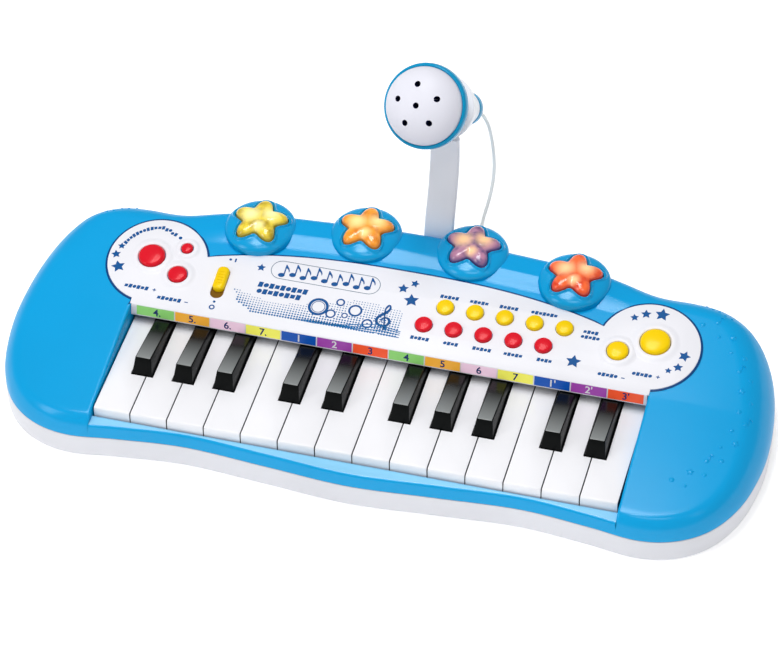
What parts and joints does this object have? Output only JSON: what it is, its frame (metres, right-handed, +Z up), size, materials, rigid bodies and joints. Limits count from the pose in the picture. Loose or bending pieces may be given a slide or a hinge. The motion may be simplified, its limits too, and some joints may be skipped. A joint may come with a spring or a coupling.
{
  "type": "toy electronic keyboard",
  "caption": "Toddler's tabletop electronic keyboard with sprung keys, a panel of push buttons, star lamps on its back ridge and a microphone on a stem.",
  "frame": {"origin": "middle of the case's flat underside, on the surface it stands on", "axes": "+X along the keys towards the treble end, +Y away from the player, +Z up"},
  "size_m": [0.4112, 0.2297, 0.1579],
  "materials": {
    "blue_shell": "gloss moulded",
    "white_plastic": "satin moulded",
    "white_key": "gloss moulded",
    "black_key": "gloss moulded",
    "red_button": "gloss moulded",
    "yellow_button": "gloss moulded",
    "lens_lime": "translucent tinted plastic",
    "lens_orange": "translucent tinted plastic",
    "lens_purple": "translucent tinted plastic",
    "lens_red": "translucent tinted plastic",
    "lead": "soft sheath",
    "gland": "soft moulded",
    "speaker": "paper cone and frame",
    "circuit_board": "solder mask",
    "contact_rubber": "matt",
    "steel_rod": "drawn"
  },
  "bodies": {
    "case": {"bottom_case": "white_plastic", "top_case": "blue_shell", "control_panel": "white_plastic", "star_lens_1": "lens_lime", "star_lens_2": "lens_orange", "star_lens_3": "lens_purple", "star_lens_4": "lens_red", "microphone_stem": "white_plastic", "microphone_body": "white_plastic", "microphone_ring": "blue_shell", "microphone_grille": "white_plastic", "microphone_end_cap": "blue_shell", "microphone_lead": "lead", "cord_gland": "gland", "speaker": "speaker", "main_circuit_board": "circuit_board", "key_contact_strip": "contact_rubber", "key_pivot_rod": "steel_rod", "battery_box": "white_plastic", "battery_door": "white_plastic"},
    "white_key_01_lever": {"white_key_01": "white_key"},
    "white_key_02_lever": {"white_key_02": "white_key"},
    "white_key_03_lever": {"white_key_03": "white_key"},
    "white_key_04_lever": {"white_key_04": "white_key"},
    "white_key_05_lever": {"white_key_05": "white_key"},
    "white_key_06_lever": {"white_key_06": "white_key"},
    "white_key_07_lever": {"white_key_07": "white_key"},
    "white_key_08_lever": {"white_key_08": "white_key"},
    "white_key_09_lever": {"white_key_09": "white_key"},
    "white_key_10_lever": {"white_key_10": "white_key"},
    "white_key_11_lever": {"white_key_11": "white_key"},
    "white_key_12_lever": {"white_key_12": "white_key"},
    "white_key_13_lever": {"white_key_13": "white_key"},
    "white_key_14_lever": {"white_key_14": "white_key"},
    "black_key_01_lever": {"black_key_01": "black_key"},
    "black_key_02_lever": {"black_key_02": "black_key"},
    "black_key_03_lever": {"black_key_03": "black_key"},
    "black_key_04_lever": {"black_key_04": "black_key"},
    "black_key_05_lever": {"black_key_05": "black_key"},
    "black_key_06_lever": {"black_key_06": "black_key"},
    "black_key_07_lever": {"black_key_07": "black_key"},
    "black_key_08_lever": {"black_key_08": "black_key"},
    "black_key_09_lever": {"black_key_09": "black_key"},
    "black_key_10_lever": {"black_key_10": "black_key"},
    "volume_up_button_plunger": {"volume_up_button": "red_button"},
    "volume_down_button_plunger": {"volume_down_button": "red_button"},
    "sound_button_plunger": {"sound_button": "red_button"},
    "tempo_down_button_plunger": {"tempo_down_button": "yellow_button"},
    "tempo_up_button_plunger": {"tempo_up_button": "yellow_button"},
    "voice_button_1_plunger": {"voice_button_1": "yellow_button"},
    "voice_button_2_plunger": {"voice_button_2": "yellow_button"},
    "voice_button_3_plunger": {"voice_button_3": "yellow_button"},
    "voice_button_4_plunger": {"voice_button_4": "yellow_button"},
    "voice_button_5_plunger": {"voice_button_5": "yellow_button"},
    "rhythm_button_1_plunger": {"rhythm_button_1": "red_button"},
    "rhythm_button_2_plunger": {"rhythm_button_2": "red_button"},
    "rhythm_button_3_plunger": {"rhythm_button_3": "red_button"},
    "rhythm_button_4_plunger": {"rhythm_button_4": "red_button"},
    "rhythm_button_5_plunger": {"rhythm_button_5": "red_button"},
    "power_knob": {"power_switch": "yellow_button"}
  },
  "joints": [
    {"name": "white_key_01_press", "type": "hinge", "parent": "case", "child": "white_key_01_lever", "pos_m": [0, 0.0187, 0.0244], "axis": [1, 0, 0], "range_deg": [0, 2.6], "stiffness_Nm_per_rad": 0.6, "springref_deg": -1.72},
    {"name": "white_key_02_press", "type": "hinge", "parent": "case", "child": "white_key_02_lever", "pos_m": [0, 0.0187, 0.0244], "axis": [1, 0, 0], "range_deg": [0, 2.6], "stiffness_Nm_per_rad": 0.6, "springref_deg": -1.72},
    {"name": "white_key_03_press", "type": "hinge", "parent": "case", "child": "white_key_03_lever", "pos_m": [0, 0.0187, 0.0244], "axis": [1, 0, 0], "range_deg": [0, 2.6], "stiffness_Nm_per_rad": 0.6, "springref_deg": -1.72},
    {"name": "white_key_04_press", "type": "hinge", "parent": "case", "child": "white_key_04_lever", "pos_m": [0, 0.0187, 0.0244], "axis": [1, 0, 0], "range_deg": [0, 2.6], "stiffness_Nm_per_rad": 0.6, "springref_deg": -1.72},
    {"name": "white_key_05_press", "type": "hinge", "parent": "case", "child": "white_key_05_lever", "pos_m": [0, 0.0187, 0.0244], "axis": [1, 0, 0], "range_deg": [0, 2.6], "stiffness_Nm_per_rad": 0.6, "springref_deg": -1.72},
    {"name": "white_key_06_press", "type": "hinge", "parent": "case", "child": "white_key_06_lever", "pos_m": [0, 0.0187, 0.0244], "axis": [1, 0, 0], "range_deg": [0, 2.6], "stiffness_Nm_per_rad": 0.6, "springref_deg": -1.72},
    {"name": "white_key_07_press", "type": "hinge", "parent": "case", "child": "white_key_07_lever", "pos_m": [0, 0.0187, 0.0244], "axis": [1, 0, 0], "range_deg": [0, 2.6], "stiffness_Nm_per_rad": 0.6, "springref_deg": -1.72},
    {"name": "white_key_08_press", "type": "hinge", "parent": "case", "child": "white_key_08_lever", "pos_m": [0, 0.0187, 0.0244], "axis": [1, 0, 0], "range_deg": [0, 2.6], "stiffness_Nm_per_rad": 0.6, "springref_deg": -1.72},
    {"name": "white_key_09_press", "type": "hinge", "parent": "case", "child": "white_key_09_lever", "pos_m": [0, 0.0187, 0.0244], "axis": [1, 0, 0], "range_deg": [0, 2.6], "stiffness_Nm_per_rad": 0.6, "springref_deg": -1.72},
    {"name": "white_key_10_press", "type": "hinge", "parent": "case", "child": "white_key_10_lever", "pos_m": [0, 0.0187, 0.0244], "axis": [1, 0, 0], "range_deg": [0, 2.6], "stiffness_Nm_per_rad": 0.6, "springref_deg": -1.72},
    {"name": "white_key_11_press", "type": "hinge", "parent": "case", "child": "white_key_11_lever", "pos_m": [0, 0.0187, 0.0244], "axis": [1, 0, 0], "range_deg": [0, 2.6], "stiffness_Nm_per_rad": 0.6, "springref_deg": -1.72},
    {"name": "white_key_12_press", "type": "hinge", "parent": "case", "child": "white_key_12_lever", "pos_m": [0, 0.0187, 0.0244], "axis": [1, 0, 0], "range_deg": [0, 2.6], "stiffness_Nm_per_rad": 0.6, "springref_deg": -1.72},
    {"name": "white_key_13_press", "type": "hinge", "parent": "case", "child": "white_key_13_lever", "pos_m": [0, 0.0187, 0.0244], "axis": [1, 0, 0], "range_deg": [0, 2.6], "stiffness_Nm_per_rad": 0.6, "springref_deg": -1.72},
    {"name": "white_key_14_press", "type": "hinge", "parent": "case", "child": "white_key_14_lever", "pos_m": [0, 0.0187, 0.0244], "axis": [1, 0, 0], "range_deg": [0, 2.6], "stiffness_Nm_per_rad": 0.6, "springref_deg": -1.72},
    {"name": "black_key_01_press", "type": "hinge", "parent": "case", "child": "black_key_01_lever", "pos_m": [0, 0.0187, 0.0244], "axis": [1, 0, 0], "range_deg": [0, 2.6], "stiffness_Nm_per_rad": 0.6, "springref_deg": -1.72},
    {"name": "black_key_02_press", "type": "hinge", "parent": "case", "child": "black_key_02_lever", "pos_m": [0, 0.0187, 0.0244], "axis": [1, 0, 0], "range_deg": [0, 2.6], "stiffness_Nm_per_rad": 0.6, "springref_deg": -1.72},
    {"name": "black_key_03_press", "type": "hinge", "parent": "case", "child": "black_key_03_lever", "pos_m": [0, 0.0187, 0.0244], "axis": [1, 0, 0], "range_deg": [0, 2.6], "stiffness_Nm_per_rad": 0.6, "springref_deg": -1.72},
    {"name": "black_key_04_press", "type": "hinge", "parent": "case", "child": "black_key_04_lever", "pos_m": [0, 0.0187, 0.0244], "axis": [1, 0, 0], "range_deg": [0, 2.6], "stiffness_Nm_per_rad": 0.6, "springref_deg": -1.72},
    {"name": "black_key_05_press", "type": "hinge", "parent": "case", "child": "black_key_05_lever", "pos_m": [0, 0.0187, 0.0244], "axis": [1, 0, 0], "range_deg": [0, 2.6], "stiffness_Nm_per_rad": 0.6, "springref_deg": -1.72},
    {"name": "black_key_06_press", "type": "hinge", "parent": "case", "child": "black_key_06_lever", "pos_m": [0, 0.0187, 0.0244], "axis": [1, 0, 0], "range_deg": [0, 2.6], "stiffness_Nm_per_rad": 0.6, "springref_deg": -1.72},
    {"name": "black_key_07_press", "type": "hinge", "parent": "case", "child": "black_key_07_lever", "pos_m": [0, 0.0187, 0.0244], "axis": [1, 0, 0], "range_deg": [0, 2.6], "stiffness_Nm_per_rad": 0.6, "springref_deg": -1.72},
    {"name": "black_key_08_press", "type": "hinge", "parent": "case", "child": "black_key_08_lever", "pos_m": [0, 0.0187, 0.0244], "axis": [1, 0, 0], "range_deg": [0, 2.6], "stiffness_Nm_per_rad": 0.6, "springref_deg": -1.72},
    {"name": "black_key_09_press", "type": "hinge", "parent": "case", "child": "black_key_09_lever", "pos_m": [0, 0.0187, 0.0244], "axis": [1, 0, 0], "range_deg": [0, 2.6], "stiffness_Nm_per_rad": 0.6, "springref_deg": -1.72},
    {"name": "black_key_10_press", "type": "hinge", "parent": "case", "child": "black_key_10_lever", "pos_m": [0, 0.0187, 0.0244], "axis": [1, 0, 0], "range_deg": [0, 2.6], "stiffness_Nm_per_rad": 0.6, "springref_deg": -1.72},
    {"name": "volume_up_button_press", "type": "slide", "parent": "case", "child": "volume_up_button_plunger", "axis": [0, -0.1908, 0.9816], "range_m": [-0.0015, 0], "stiffness_N_per_m": 400, "springref_m": 0.0008},
    {"name": "volume_down_button_press", "type": "slide", "parent": "case", "child": "volume_down_button_plunger", "axis": [0, -0.1908, 0.9816], "range_m": [-0.0015, 0], "stiffness_N_per_m": 400, "springref_m": 0.0008},
    {"name": "sound_button_press", "type": "slide", "parent": "case", "child": "sound_button_plunger", "axis": [0, -0.1908, 0.9816], "range_m": [-0.0015, 0], "stiffness_N_per_m": 400, "springref_m": 0.0008},
    {"name": "tempo_down_button_press", "type": "slide", "parent": "case", "child": "tempo_down_button_plunger", "axis": [0, -0.1908, 0.9816], "range_m": [-0.0015, 0], "stiffness_N_per_m": 400, "springref_m": 0.0008},
    {"name": "tempo_up_button_press", "type": "slide", "parent": "case", "child": "tempo_up_button_plunger", "axis": [0, -0.1908, 0.9816], "range_m": [-0.0015, 0], "stiffness_N_per_m": 400, "springref_m": 0.0008},
    {"name": "voice_button_1_press", "type": "slide", "parent": "case", "child": "voice_button_1_plunger", "axis": [0, -0.1908, 0.9816], "range_m": [-0.0015, 0], "stiffness_N_per_m": 400, "springref_m": 0.0008},
    {"name": "voice_button_2_press", "type": "slide", "parent": "case", "child": "voice_button_2_plunger", "axis": [0, -0.1908, 0.9816], "range_m": [-0.0015, 0], "stiffness_N_per_m": 400, "springref_m": 0.0008},
    {"name": "voice_button_3_press", "type": "slide", "parent": "case", "child": "voice_button_3_plunger", "axis": [0, -0.1908, 0.9816], "range_m": [-0.0015, 0], "stiffness_N_per_m": 400, "springref_m": 0.0008},
    {"name": "voice_button_4_press", "type": "slide", "parent": "case", "child": "voice_button_4_plunger", "axis": [0, -0.1908, 0.9816], "range_m": [-0.0015, 0], "stiffness_N_per_m": 400, "springref_m": 0.0008},
    {"name": "voice_button_5_press", "type": "slide", "parent": "case", "child": "voice_button_5_plunger", "axis": [0, -0.1908, 0.9816], "range_m": [-0.0015, 0], "stiffness_N_per_m": 400, "springref_m": 0.0008},
    {"name": "rhythm_button_1_press", "type": "slide", "parent": "case", "child": "rhythm_button_1_plunger", "axis": [0, -0.1908, 0.9816], "range_m": [-0.0015, 0], "stiffness_N_per_m": 400, "springref_m": 0.0008},
    {"name": "rhythm_button_2_press", "type": "slide", "parent": "case", "child": "rhythm_button_2_plunger", "axis": [0, -0.1908, 0.9816], "range_m": [-0.0015, 0], "stiffness_N_per_m": 400, "springref_m": 0.0008},
    {"name": "rhythm_button_3_press", "type": "slide", "parent": "case", "child": "rhythm_button_3_plunger", "axis": [0, -0.1908, 0.9816], "range_m": [-0.0015, 0], "stiffness_N_per_m": 400, "springref_m": 0.0008},
    {"name": "rhythm_button_4_press", "type": "slide", "parent": "case", "child": "rhythm_button_4_plunger", "axis": [0, -0.1908, 0.9816], "range_m": [-0.0015, 0], "stiffness_N_per_m": 400, "springref_m": 0.0008},
    {"name": "rhythm_button_5_press", "type": "slide", "parent": "case", "child": "rhythm_button_5_plunger", "axis": [0, -0.1908, 0.9816], "range_m": [-0.0015, 0], "stiffness_N_per_m": 400, "springref_m": 0.0008},
    {"name": "power_slide", "type": "slide", "parent": "case", "child": "power_knob", "axis": [0, -0.9816, -0.1908], "range_m": [0, 0.0045]}
  ]
}
